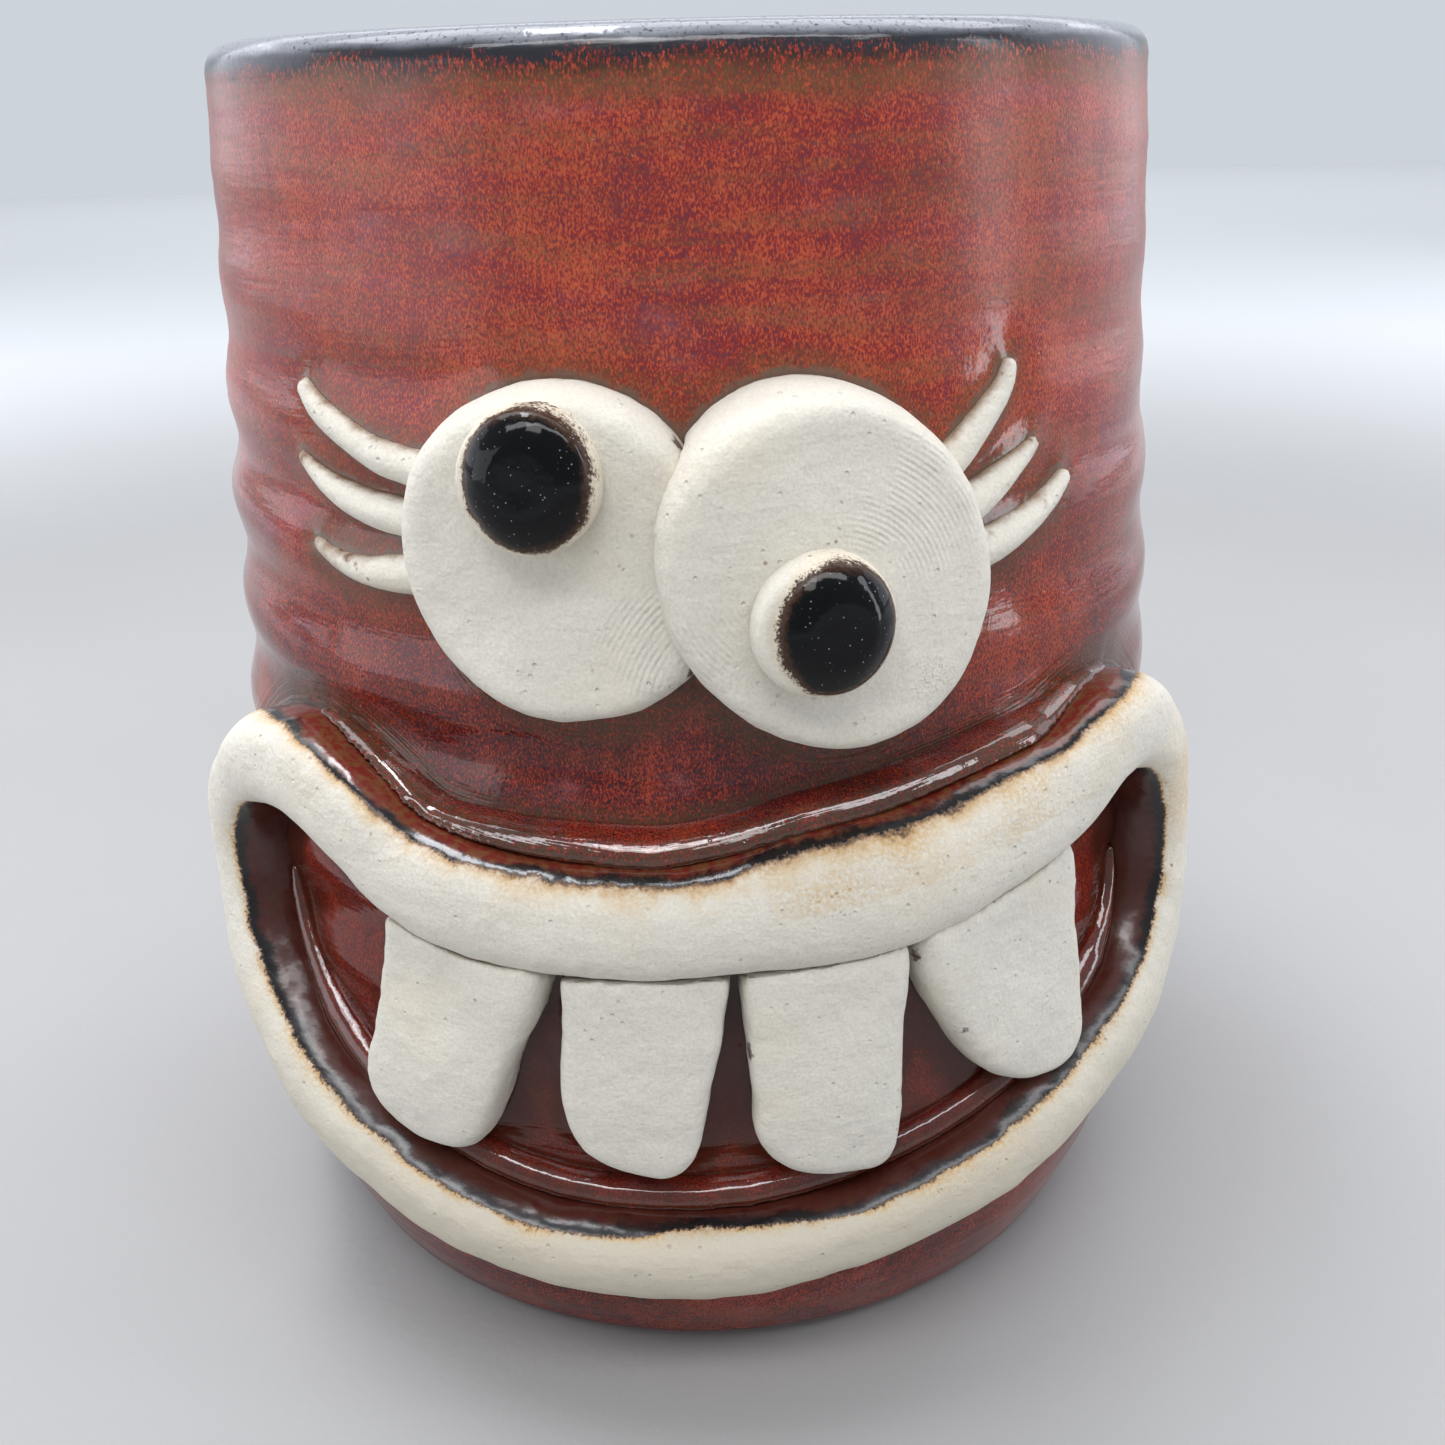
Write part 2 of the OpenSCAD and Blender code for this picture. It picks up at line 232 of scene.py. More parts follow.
class Paint:
    """Short calls for the nodes of one material."""

    def __init__(self, name):
        self.material = bpy.data.materials.new(name)
        self.material.use_nodes = True
        self.tree = self.material.node_tree
        self.tree.nodes.clear()
        out = self.tree.nodes.new("ShaderNodeOutputMaterial")
        self.shader = self.tree.nodes.new("ShaderNodeBsdfPrincipled")
        self.tree.links.new(self.shader.outputs[0], out.inputs["Surface"])
        self.place = self.tree.nodes.new("ShaderNodeTexCoord").outputs["Object"]

    def put(self, socket, value):
        if isinstance(value, bpy.types.NodeSocket):
            self.tree.links.new(value, socket)
        elif isinstance(value, tuple) and len(value) == 3 and len(socket.default_value) == 4:
            socket.default_value = (*value, 1)
        else:
            socket.default_value = value

    def math(self, kind, a, b=0.0, c=0.0):
        node = self.tree.nodes.new("ShaderNodeMath")
        node.operation = kind
        for socket, value in zip(node.inputs, (a, b, c)):
            self.put(socket, value)
        return node.outputs[0]

    def field(self, name):
        node = self.tree.nodes.new("ShaderNodeAttribute")
        node.attribute_name = name
        return node.outputs["Fac"]

    def stretched(self, scale, offset=(0.0, 0.0, 0.0)):
        """The object's own coordinates, moved and then scaled by axis."""
        node = self.tree.nodes.new("ShaderNodeMapping")
        self.put(node.inputs["Vector"], self.place)
        node.inputs["Location"].default_value = offset
        node.inputs["Scale"].default_value = scale
        return node.outputs[0]

    def noise(self, size, detail=2.0, rough=0.5, vector=None):
        """Noise from 0 to 1 with features about size across."""
        node = self.tree.nodes.new("ShaderNodeTexNoise")
        self.put(node.inputs["Vector"], vector or self.place)
        node.inputs["Scale"].default_value = 1 / size
        node.inputs["Detail"].default_value = detail
        node.inputs["Roughness"].default_value = rough
        return node.outputs["Fac"]

    def joined(self, x, y, z):
        """A vector from three numbers."""
        node = self.tree.nodes.new("ShaderNodeCombineXYZ")
        for socket, value in zip(node.inputs, (x, y, z)):
            self.put(socket, value)
        return node.outputs[0]

    def height(self):
        """How high above the floor the point is."""
        node = self.tree.nodes.new("ShaderNodeSeparateXYZ")
        self.put(node.inputs[0], self.place)
        return node.outputs["Z"]

    def distance(self, centre):
        node = self.tree.nodes.new("ShaderNodeVectorMath")
        node.operation = "DISTANCE"
        self.put(node.inputs[0], self.place)
        node.inputs[1].default_value = centre
        return node.outputs["Value"]

    def spots(self, size, vector=None):
        """Distance from the nearest of many scattered points, in sizes."""
        node = self.tree.nodes.new("ShaderNodeTexVoronoi")
        self.put(node.inputs["Vector"], vector or self.place)
        node.inputs["Scale"].default_value = 1 / size
        return node.outputs["Distance"]

    def rings(self, centre, pitch):
        """Fine bent rings round a point, like a fingerprint's ridges, from 0 to 1."""
        node = self.tree.nodes.new("ShaderNodeTexWave")
        node.wave_type = "RINGS"
        node.rings_direction = "SPHERICAL"
        self.put(node.inputs["Vector"], self.stretched((1, 1, 1), tuple(-c for c in centre)))
        node.inputs["Scale"].default_value = math.tau / 20 / pitch  # tau / 20 apart at scale 1
        node.inputs["Distortion"].default_value = 5.0
        node.inputs["Detail"].default_value = 1.5
        node.inputs["Detail Scale"].default_value = 0.12
        return node.outputs["Fac"]

    def step(self, value, low, high):
        """0 below low, 1 above high, and a smooth change between. low may be above high."""
        node = self.tree.nodes.new("ShaderNodeMapRange")
        node.interpolation_type = "SMOOTHSTEP"
        self.put(node.inputs["Value"], value)
        node.inputs["From Min"].default_value = min(low, high)
        node.inputs["From Max"].default_value = max(low, high)
        if low > high:
            node.inputs["To Min"].default_value, node.inputs["To Max"].default_value = 1, 0
        return node.outputs["Result"]

    def ramp(self, value, stops):
        """Colour for a value from 0 to 1, from (place, colour) stops."""
        node = self.tree.nodes.new("ShaderNodeValToRGB")
        self.put(node.inputs[0], value)
        marks = node.color_ramp.elements
        for place, color in stops[1:-1]:
            marks.new(place)
        for mark, (place, color) in zip(marks, stops):
            mark.position, mark.color = place, (*color, 1)
        return node.outputs[0]

    def mix(self, amount, a, b, kind="RGBA"):
        """a where amount is 0 and b where it is 1: colours or, with kind VECTOR, normals."""
        node = self.tree.nodes.new("ShaderNodeMix")
        node.data_type = kind
        self.put(node.inputs["Factor"], amount)
        first, result = {"RGBA": (6, 2), "VECTOR": (4, 1)}[kind]
        self.put(node.inputs[first], a)
        self.put(node.inputs[first + 1], b)
        return node.outputs[result]

    def swing(self, value, amount):
        """A value from 0 to 1 turned into one of the given width round 0."""
        return self.times(self.math("SUBTRACT", value, 0.5), amount)

    def times(self, *values):
        total = values[0]
        for v in values[1:]:
            total = self.math("MULTIPLY", total, v)
        return total

    def plus(self, *values):
        total = values[0]
        for v in values[1:]:
            total = self.math("ADD", total, v)
        return total

    def relief(self, height, depth, under=None):
        """Bump of the given depth in metres, over an earlier bump."""
        node = self.tree.nodes.new("ShaderNodeBump")
        node.inputs["Distance"].default_value = depth
        self.put(node.inputs["Height"], height)
        if under is not None:
            self.put(node.inputs["Normal"], under)
        return node.outputs[0]

    def finish(self, color, roughness, normal, ior=1.5):
        for name, value in (("Base Color", color), ("Roughness", roughness),
                            ("Normal", normal), ("IOR", ior)):
            self.put(self.shader.inputs[name], value)
        return self.material


# ---- materials ----

PLUM = (0.150, 0.022, 0.033)
DEEP_RED = (0.21, 0.018, 0.014)
BRICK = (0.36, 0.046, 0.024)
ORANGE_RED = (0.455, 0.088, 0.036)
HIGH_TONES = [(0.35, PLUM), (0.44, DEEP_RED), (0.54, BRICK), (0.66, ORANGE_RED)]
# darker tones for the lower wall: partly thicker glaze, partly painted shade
LOW_SHADED_TONES = [(0.37, (0.020, 0.006, 0.009)), (0.46, (0.084, 0.008, 0.007)),
             (0.54, (0.175, 0.014, 0.008)), (0.66, (0.32, 0.040, 0.014))]
DARK_PLUM = (0.075, 0.022, 0.050)
BLOOM = (0.36, 0.17, 0.20)
OLIVE = (0.115, 0.062, 0.024)
UMBER = (0.035, 0.018, 0.010)
KHAKI = (0.135, 0.098, 0.070)
INK = (0.006, 0.005, 0.006)
# painted shade inside the mouth: a darker red, and a near-black for its deepest parts
MOUTH_SHADED_RED = (0.115, 0.010, 0.006)
MOUTH_SHADE = (0.040, 0.006, 0.002)
INSIDE_BROWN = (0.05, 0.014, 0.012)
RIM_BLUE = (0.020, 0.021, 0.027)
# pale blue-grey of the rim's top: partly frosty glaze, partly a painted highlight
RIM_FROST_AND_HIGHLIGHT = (0.28, 0.29, 0.32)
FOOT_CLAY = ((0.34, 0.22, 0.13), (0.46, 0.33, 0.21))
LIP_GLAZE_RED = (0.13, 0.016, 0.010)
LIP_GLAZE_BROWN = (0.13, 0.045, 0.018)
LIP_GLAZE_INNER = (0.042, 0.009, 0.007)
PUPIL_BLACK = (0.0016, 0.0016, 0.002)
PUPIL_EDGE = (0.045, 0.022, 0.012)
PUPIL_FLECK = (0.5, 0.52, 0.55)

CLAY = (0.69, 0.65, 0.565)
TOOTH_CLAY = (0.675, 0.64, 0.56)
WARM_CLAY = (0.72, 0.58, 0.38)
# warmer, darker clay low on the lips: partly the clay's own tone, partly painted shade
WARM_SHADED_CLAY = (0.50, 0.445, 0.345)
# paler colour for the crust's raised crumbs: painted highlight
CRUMB_HIGHLIGHT = (0.74, 0.68, 0.56)
TOAST = (0.56, 0.36, 0.13)
DARK_TOAST = (0.36, 0.17, 0.05)
CHAR = (0.10, 0.042, 0.016)
CLAY_RUST = (0.30, 0.14, 0.04)
CORNER_RUST = (0.30, 0.13, 0.035)
IRON_SPECK = (0.22, 0.12, 0.05)
IRON_STAIN = (0.060, 0.022, 0.011)
EDGE_TOAST = (0.20, 0.10, 0.04)
EDGE_STAIN = (0.13, 0.050, 0.022)

SCORCH_HEART = (14 * MM, -50 * MM, 52 * MM)
BROWNED_CORNER = (51 * MM, -25 * MM, 56 * MM)
FINGERPRINT_PITCH = 0.46 * MM


def red_glaze_color(p, low_down, streak):
    """Mottled iron-red glaze: plum and orange grains packed close, drawn a little downwards."""
    drawn = p.stretched((1, 1, 0.5))
    grain = p.noise(0.15 * MM, 1.5, 0.6, drawn)
    cluster = p.noise(2.0 * MM, 3, 0.6, drawn)
    patch = p.noise(15 * MM, 3, 0.55)
    tone = p.plus(grain, p.swing(cluster, 0.24), p.swing(patch, 0.42), p.swing(streak, 0.22))
    # deeper, darker red lower down: partly thicker glaze, partly painted shade
    color = p.mix(p.times(low_down, 0.85), p.ramp(tone, HIGH_TONES), p.ramp(tone, LOW_SHADED_TONES))
    specks = p.times(p.step(p.spots(0.42 * MM, drawn), 0.32, 0.12), p.step(cluster, 0.62, 0.42))
    return p.mix(p.times(specks, 0.55), color, DARK_PLUM)


def with_breaks(p, color, near, low_down, streak, ragged, fine):
    """Add a pale bloom, and brown where the glaze runs thin: on the rings, and round the clay, where
    lower down it is also painted shade under the pieces.
    """
    cloud = p.noise(5 * MM, 3, 0.6, p.stretched((0.6, 0.6, 1.2)))
    bloom = p.times(p.step(cloud, 0.52, 0.78), p.step(fine, 0.25, 0.65),
                    p.step(near, 1.0, 6.0), 0.34)
    color = p.mix(bloom, color, BLOOM)
    banded = p.times(p.step(p.plus(streak, p.times(p.field("ridge"), 0.10)), 0.53, 0.74),
                     p.step(fine, 0.36, 0.58), 0.5)
    rows = p.step(p.noise(1.6 * MM, 2, 0.6, p.stretched((0.07, 0.07, 1.0))), 0.58, 0.70)
    banded = p.math("MAXIMUM", banded, p.times(rows, p.step(fine, 0.30, 0.60), 0.5))
    # the brown round the clay widens and darkens lower down: thin glaze, and below the eyes partly
    # painted shade
    round_clay = p.step(p.plus(near, p.times(ragged, -3.0), p.times(low_down, -1.6)), 1.6, -0.9)
    halo = p.times(round_clay, p.step(fine, 0.30, 0.56), p.plus(0.62, p.times(low_down, 0.28)))
    thin = p.math("MAXIMUM", banded, halo)
    return p.mix(thin, color, p.mix(p.times(low_down, 0.7), OLIVE, UMBER))


def with_pools(p, color, z, near, mouth, ragged):
    """Add the dark line of thick glaze along the clay pieces, and paint shade on the glaze in the
    mouth, deepest near the pieces.
    """
    lower = p.step(z, *GLAZE_THICKENS)
    outline = p.times(p.step(p.plus(near, p.times(ragged, -1.4)), 0.10, -0.55), 0.8)
    color = p.mix(outline, color, p.mix(lower, KHAKI, UMBER))
    pool = p.times(p.step(near, 0.30, 0.06), p.plus(0.15, p.times(lower, 0.75)))
    color = p.mix(pool, color, INK)
    # painted shade in the mouth: darker red, and darker still in patches close to the lips and teeth
    color = p.mix(p.times(mouth, 0.35), color, MOUTH_SHADED_RED)
    hollow = p.plus(p.noise(6 * MM, 2, 0.5), p.times(near, -0.09))
    return p.mix(p.times(mouth, p.step(hollow, 0.0, 0.45), 0.75), color, MOUTH_SHADE)


def with_rim(p, color, under_rim, inside, fine):
    """Add the rim's blue-black glaze, peppered at its lower edge, and a pale frost along the top that
    is partly the glaze's own and partly painted highlight.
    """
    wavy = p.noise(3.5 * MM, 3, 0.6, p.stretched((0.6, 0.6, 1)))
    hatch = p.noise(0.26 * MM, 2, 0.6, p.stretched((1.3, 1.3, 0.5)))
    below = p.plus(under_rim, p.times(wavy, -3.0 * MM))
    peppered = p.times(p.step(below, 5.2 * MM, 1.2 * MM), p.step(hatch, 0.60, 0.47), 0.9)
    color = p.mix(peppered, color, p.mix(p.step(below, 2.4 * MM, 1.0 * MM), OLIVE, UMBER))
    dark = p.step(p.plus(below, p.times(hatch, 2.6 * MM)), 2.7 * MM, 1.8 * MM)
    color = p.mix(dark, color, RIM_BLUE)
    # pale frost along the top outer edge: partly the glaze's frost, partly a painted highlight of the
    # light from above
    crest = p.step(p.plus(under_rim, p.times(wavy, -0.9 * MM)), 1.2 * MM, 0.3 * MM)
    outside = p.math("SUBTRACT", 1.0, p.times(inside, 0.75))
    frost_and_highlight = p.times(crest, p.step(fine, 0.24, 0.46), outside, 0.8)
    return p.mix(frost_and_highlight, color, RIM_FROST_AND_HIGHLIGHT)


def glaze_relief(p, z, near, mouth, tooling):
    """Orange peel, level finger lines, pinholes, and tool lines that run along the lips."""
    normal = p.relief(p.noise(0.8 * MM, 2, 0.5), 0.022 * MM)
    lines = p.noise(0.9 * MM, 2, 0.5, p.stretched((0.12, 0.12, 1.0)))
    normal = p.relief(lines, 0.06 * MM * tooling, normal)
    normal = p.relief(p.step(p.spots(2.4 * MM), 0.09, 0.03), -0.05 * MM, normal)
    tooled = p.noise(0.55 * MM, 2, 0.6, p.joined(p.times(near, MM), p.times(z, 0.06), 0.0))
    worked = p.times(p.step(near, 5.5, 3.0), p.step(mouth, 0.9, 0.5), p.step(z, 82 * MM, 74 * MM))
    return p.relief(p.times(tooled, worked), 0.13 * MM * tooling, normal)


def make_glaze(name, ior, dull, tooling=1.0):
    """Glossy red glaze that breaks brown where it is thin and pools black in corners. dull is its
    least roughness, and tooling is how clearly the potter's tool marks show in it."""
    p = Paint(name)
    z = p.height()
    under_rim = p.math("SUBTRACT", CUP_HEIGHT, z)
    near, mouth, inside, bare = map(p.field, ("near", "mouth", "inside", "bare"))
    # low_down marks the lower wall, painted darker: partly thicker glaze, partly painted shade
    low_down = p.step(p.plus(z, p.times(p.noise(9 * MM, 3, 0.6), 16 * MM)), 104 * MM, 74 * MM)
    streak = p.noise(5 * MM, 3, 0.6, p.stretched((0.35, 0.35, 2.4)))
    ragged = p.noise(1.3 * MM, 3, 0.6)
    fine = p.noise(0.32 * MM, 2, 0.6)

    color = red_glaze_color(p, low_down, streak)
    color = with_breaks(p, color, near, low_down, streak, ragged, fine)
    color = with_pools(p, color, z, near, mouth, ragged)
    color = with_rim(p, color, under_rim, inside, fine)
    color = p.mix(p.times(inside, 0.6), color, INSIDE_BROWN)
    color = p.mix(bare, color, p.mix(p.noise(2 * MM, 3), *FOOT_CLAY))
    satin = p.times(p.step(near, 1.5, 7.0), p.step(z, 78 * MM, 104 * MM),
                    p.step(under_rim, 1 * MM, 3 * MM))
    rough = p.plus(dull, p.times(p.noise(4 * MM, 3, 0.6), 0.08), p.times(satin, 0.20),
                   p.times(bare, 0.55))
    return p.finish(color, rough, glaze_relief(p, z, near, mouth, tooling), ior)


def clay_color(p, clay):
    """Pale bare clay with faint clouds, fine grain and a few tiny iron specks."""
    clouded, grained = (tuple(c * share for c in clay) for share in (0.86, 0.88))
    color = p.mix(p.times(p.noise(6 * MM, 3, 0.6), 0.35), clay, clouded)
    color = p.mix(p.step(p.noise(0.28 * MM, 2, 0.7), 0.62, 0.34), color, grained)
    warm = p.step(p.noise(11 * MM, 2, 0.5), 0.52, 0.75)
    color = p.mix(p.times(warm, 0.18), color, WARM_CLAY)
    speck = p.times(p.step(p.spots(3.1 * MM), 0.075, 0.04), p.step(p.noise(5 * MM, 1), 0.5, 0.6))
    return p.mix(p.times(speck, 0.7), color, IRON_SPECK)


def clay_relief(p, prints=()):
    """Small pits and brushed scratches, and fingerprint ridges. Each print is a pair of marks: the
    patch of clay it covers, and the middle of its rings, of which only the place counts."""
    normal = p.relief(p.noise(0.33 * MM, 3, 0.7), 0.055 * MM)
    normal = p.relief(p.noise(1.9 * MM, 3, 0.6), 0.27 * MM, normal)
    scratch = p.noise(0.8 * MM, 2, 0.6, p.stretched((0.25, 0.25, 1.2)))
    normal = p.relief(scratch, 0.05 * MM, normal)
    pits = p.times(p.step(p.spots(1.5 * MM), 0.15, 0.04), p.step(p.noise(4 * MM, 1), 0.40, 0.55))
    normal = p.relief(pits, -0.13 * MM, normal)
    for (patch, reach), (centre, _) in prints:
        close = p.step(p.distance(patch), reach, reach * 0.45)
        patchy = p.step(p.noise(3.5 * MM, 2), 0.34, 0.56)
        ridges = p.times(p.rings(centre, FINGERPRINT_PITCH), close, patchy)
        normal = p.relief(ridges, 0.05 * MM, normal)
    return normal


def make_clay(name, clay, edge, prints=(), crusts=(), stains=()):
    """Bare clay. edge is how strongly it is toasted where the glaze meets it, crusts are rough
    patches, and stains are small brown iron spots."""
    p = Paint(name)
    color = clay_color(p, clay)
    near = p.field("near")
    blotch = p.noise(1.5 * MM, 3, 0.6)
    toasted = p.times(p.step(p.plus(near, p.times(blotch, -1.2)), 0.6, -0.5), edge)
    color = p.mix(toasted, color, EDGE_TOAST)
    stained = p.times(p.step(near, 2.2, 0.3), p.step(p.noise(2.6 * MM, 3, 0.7), 0.60, 0.72), edge)
    color = p.mix(stained, color, EDGE_STAIN)
    ragged = p.times(p.noise(0.6 * MM, 3, 0.7), 2.4 * MM)
    for centre, reach in stains:
        spot = p.step(p.plus(p.distance(centre), ragged), reach + 1.4 * MM, reach + 0.9 * MM)
        color = p.mix(p.times(spot, 0.9), color, IRON_STAIN)
    normal = clay_relief(p, prints)
    for centre, reach in crusts:
        patch = p.step(p.plus(p.distance(centre), p.times(blotch, 4 * MM)), reach + 2 * MM, reach)
        crumbs = p.times(patch, p.step(p.noise(0.55 * MM, 3, 0.7), 0.42, 0.60))
        normal = p.relief(crumbs, 0.07 * MM, normal)
        # the raised crumbs are painted paler: painted highlight
        color = p.mix(p.times(crumbs, 0.25), color, CRUMB_HIGHLIGHT)
    return p.finish(color, 0.72, normal, 1.45)


def toasted_lip_color(p, line, edge, hairs, wander):
    """The lips' bare clay, ever browner towards the glaze. line is below 0 on bare clay and above
    it under the glaze, and edge is the same but steeper inside the mouth."""
    color = clay_color(p, CLAY)
    # lower on the lips the clay turns warmer and darker: partly its own tone, partly painted shade
    color = p.mix(p.times(p.step(p.height(), 50 * MM, 14 * MM), 0.85), color, WARM_SHADED_CLAY)
    by_heart = p.step(p.distance(SCORCH_HEART), 17 * MM, 4 * MM)
    scorch = p.plus(p.noise(8 * MM, 3, 0.6), p.times(by_heart, 0.2))
    warm = p.times(p.step(edge, -4.0, -0.4), p.step(scorch, 0.42, 0.70),
                   p.step(hairs, 0.34, 0.62), 0.6)
    color = p.mix(warm, color, TOAST)
    from_corner = p.plus(p.distance(BROWNED_CORNER), p.times(wander, 9 * MM))
    browned = p.times(p.step(from_corner, 17 * MM, 8 * MM), p.step(hairs, 0.3, 0.6), 0.6)
    color = p.mix(browned, color, TOAST)
    rust = p.times(p.step(p.spots(0.8 * MM), 0.26, 0.10), p.step(scorch, 0.58, 0.78),
                   p.step(line, -4.5, -1.0), 0.6)
    color = p.mix(rust, color, CLAY_RUST)
    color = p.mix(p.times(p.step(edge, -1.5, -0.3), p.step(wander, 0.25, 0.6), 0.6), color, TOAST)
    color = p.mix(p.times(p.step(edge, -0.8, -0.15), 0.5), color, DARK_TOAST)
    color = p.mix(p.times(p.step(edge, -0.35, -0.05), 0.85), color, CHAR)
    stain = p.plus(p.field("corner"), p.swing(wander, 0.9))
    return p.mix(p.times(p.step(stain, 0.25, 0.75), 0.85), color, CORNER_RUST)


def make_lip_clay():
    """Lip clay: white front, toasted beside the glaze, and a black ragged glaze edge down its
    side."""
    p = Paint("lip_clay")
    inner = p.field("inner")
    hairs = p.noise(0.34 * MM, 2, 0.7)
    wander = p.noise(3.2 * MM, 3, 0.6)
    meander = p.swing(wander, p.plus(1.3, p.times(inner, -0.7)))
    line = p.plus(p.field("glaze"), p.swing(hairs, 0.75), meander)
    edge = p.times(line, p.plus(1.0, p.times(inner, 1.3)))
    covered = p.step(line, -0.12, 0.10)
    deep = p.step(p.plus(line, p.times(wander, 0.9)), 0.75, 1.5)
    brown_red = p.mix(p.step(p.noise(0.8 * MM, 2, 0.6), 0.4, 0.62), LIP_GLAZE_RED, LIP_GLAZE_BROWN)
    brown_red = p.mix(p.times(inner, 0.8), brown_red, LIP_GLAZE_INNER)
    bare = toasted_lip_color(p, line, edge, hairs, wander)
    color = p.mix(covered, bare, p.mix(deep, INK, brown_red))
    rough = p.plus(0.72, p.times(covered, -0.56), p.times(covered, inner, 0.06))
    glassy = p.relief(p.noise(1.1 * MM, 2, 0.5), 0.035 * MM)
    return p.finish(color, rough, p.mix(covered, clay_relief(p), glassy, "VECTOR"))


def make_pupil_glaze():
    """Bare clay pellet under a domed pool of black glaze with a ragged brown edge."""
    p = Paint("pupil_glaze")
    line = p.plus(p.field("cap"), p.swing(p.noise(0.4 * MM, 3, 0.7), 0.9),
                  p.swing(p.noise(2.2 * MM, 2, 0.5), 0.9))
    color = clay_color(p, CLAY)
    color = p.mix(p.times(p.step(line, -0.9, -0.1), 0.22), color, TOAST)
    speckle = p.step(p.plus(line, p.noise(0.24 * MM, 2, 0.7)), 0.30, 0.70)
    color = p.mix(speckle, color, PUPIL_EDGE)
    color = p.mix(p.step(line, 0.3, 0.9), color, PUPIL_BLACK)
    fleck = p.times(p.step(p.spots(0.5 * MM), 0.16, 0.08),
                    p.step(p.noise(1.4 * MM, 2), 0.46, 0.56), 0.4)
    color = p.mix(p.times(fleck, p.step(line, 0.0, 0.3)), color, PUPIL_FLECK)
    rough = p.plus(0.7, p.times(p.step(line, 0.0, 0.6), -0.62))
    normal = p.relief(p.noise(1.6 * MM, 2, 0.5), 0.05 * MM)
    pinholes = p.step(p.spots(0.75 * MM), 0.14, 0.04)
    return p.finish(color, rough, p.relief(pinholes, -0.03 * MM, normal), 1.31)


# ---- the mouth, seen unrolled from the wall ----

def mouth_polar(co):
    """Direction and distance of points from a spot low in the mouth, on the unrolled wall."""
    across, up = azimuth(co) * MEAN_RADIUS, co[:, 2] - MOUTH_HEART
    return np.arctan2(up, across), np.hypot(across, up)


def lip_line(co):
    """Middle line of the lips as a distance for each direction from the mouth's heart."""
    turn, away = mouth_polar(co)
    centres = np.radians(np.arange(-178, 180, 4))
    slices = [away[np.abs(turn - c) < math.radians(2.5)] for c in centres]
    return centres, np.array([(np.percentile(a, 4) + np.percentile(a, 96)) / 2 for a in slices])


def outside_lip(co, line):
    """How far outside the lips' middle line each point is; negative in the mouth."""
    turn, away = mouth_polar(co)
    return away - np.interp(turn, *line, period=math.tau)


def from_top(co):
    """Angle round the mouth's heart from straight up, either way."""
    turn, _ = mouth_polar(co)
    apart = np.abs(turn - math.pi / 2)
    return np.minimum(apart, math.tau - apart)


def upper_share(co):
    """1 along the upper lip, 0 along the lower one, and a smooth change at the mouth's corners."""
    return smoothstep(from_top(co), math.radians(62), math.radians(44))


# ---- the pot ----

FRONT_SPAN = math.radians(64)
FRONT_COLUMNS = 236
BACK_COLUMNS = 120
FOOT_ROWS = 7
OUTER_ROWS = 196
INNER_ROWS = 44


def cast_profile():
    """The cup's outline in its own plane, from the middle underneath, up the outside, over the rim
    and down the inside to the middle of the floor, as rows of radius and height."""
    tree = cad_tree("pot")

    def surface(radius, height, outward, upward):
        """Radius and height of the surface met from a point in that plane, in a direction in it."""
        toward = Vector((0, -outward, upward)).normalized()
        found = tree.ray_cast(Vector((0, -radius, height)), toward)[0]
        return -found.y, found.z

    def outside(height):
        return surface(1, height, -1, 0)[0]

    rim_z = CUP_HEIGHT - WALL / 2
    rim_middle = (outside(rim_z) + surface(0, rim_z, 1, 0)[0]) / 2
    foot_flat = outside(FOOT_EDGE) - FOOT_EDGE
    profile = [(r, 0.0) for r in np.linspace(0, foot_flat, FOOT_ROWS + 1)[1:]]
    for turn in np.radians(np.arange(-80, 0, 12)):
        profile.append(surface(foot_flat, FOOT_EDGE, math.cos(turn), math.sin(turn)))
    heights = np.linspace(FOOT_EDGE, rim_z, OUTER_ROWS)
    radii = np.pad([outside(z) for z in heights], 4, "edge")
    weights = np.array([1, 2, 3, 4, 5, 4, 3, 2, 1]) / 25
    profile += zip(np.convolve(radii, weights, "valid"), heights)
    for turn in np.radians(np.arange(12, 180, 12)):
        profile.append(surface(rim_middle, rim_z, math.cos(turn), math.sin(turn)))
    curve_z = surface(0, rim_z, 0, -1)[1] + FLOOR_CURVE
    for z in np.linspace(rim_z, curve_z, INNER_ROWS):
        profile.append((surface(0, z, 1, 0)[0], z))
    for turn in np.radians(np.arange(8, 90, 8)):
        profile.append(surface(0, curve_z, math.cos(turn), -math.sin(turn)))
    return np.array(profile)


def columns():
    """Azimuths of the cup's columns, close together across the face and wider behind."""
    front = np.linspace(-FRONT_SPAN, FRONT_SPAN, FRONT_COLUMNS)
    back = np.linspace(FRONT_SPAN, math.tau - FRONT_SPAN, BACK_COLUMNS + 2)[1:-1]
    return np.concatenate([front, back])


def ring_strength(z):
    """How strong the throwing rings are at a height: weak at the foot and under the rim."""
    return smoothstep(z, 118 * MM, 84 * MM) * smoothstep(z, 6 * MM, 22 * MM)


def swayed(co, amount=1.0):
    """Move points with the slow waver of the hand-thrown wall: a sway up its height and a slight
    oval. Every clay piece goes through this too, so that it stays on the wall."""
    z = co[:, 2]
    on_face = radial(co) * MEAN_RADIUS + co * (0, 0, 1)
    sway = 0.5 * MM * lumps(on_face, (45 * MM, 45 * MM, 16 * MM), 11) * ring_strength(z) * amount
    oval = 0.22 * MM * np.cos(2 * azimuth(co) + 0.6) * smoothstep(z, 0, 60 * MM)
    return co + radial(co) * (sway + oval)[:, None]


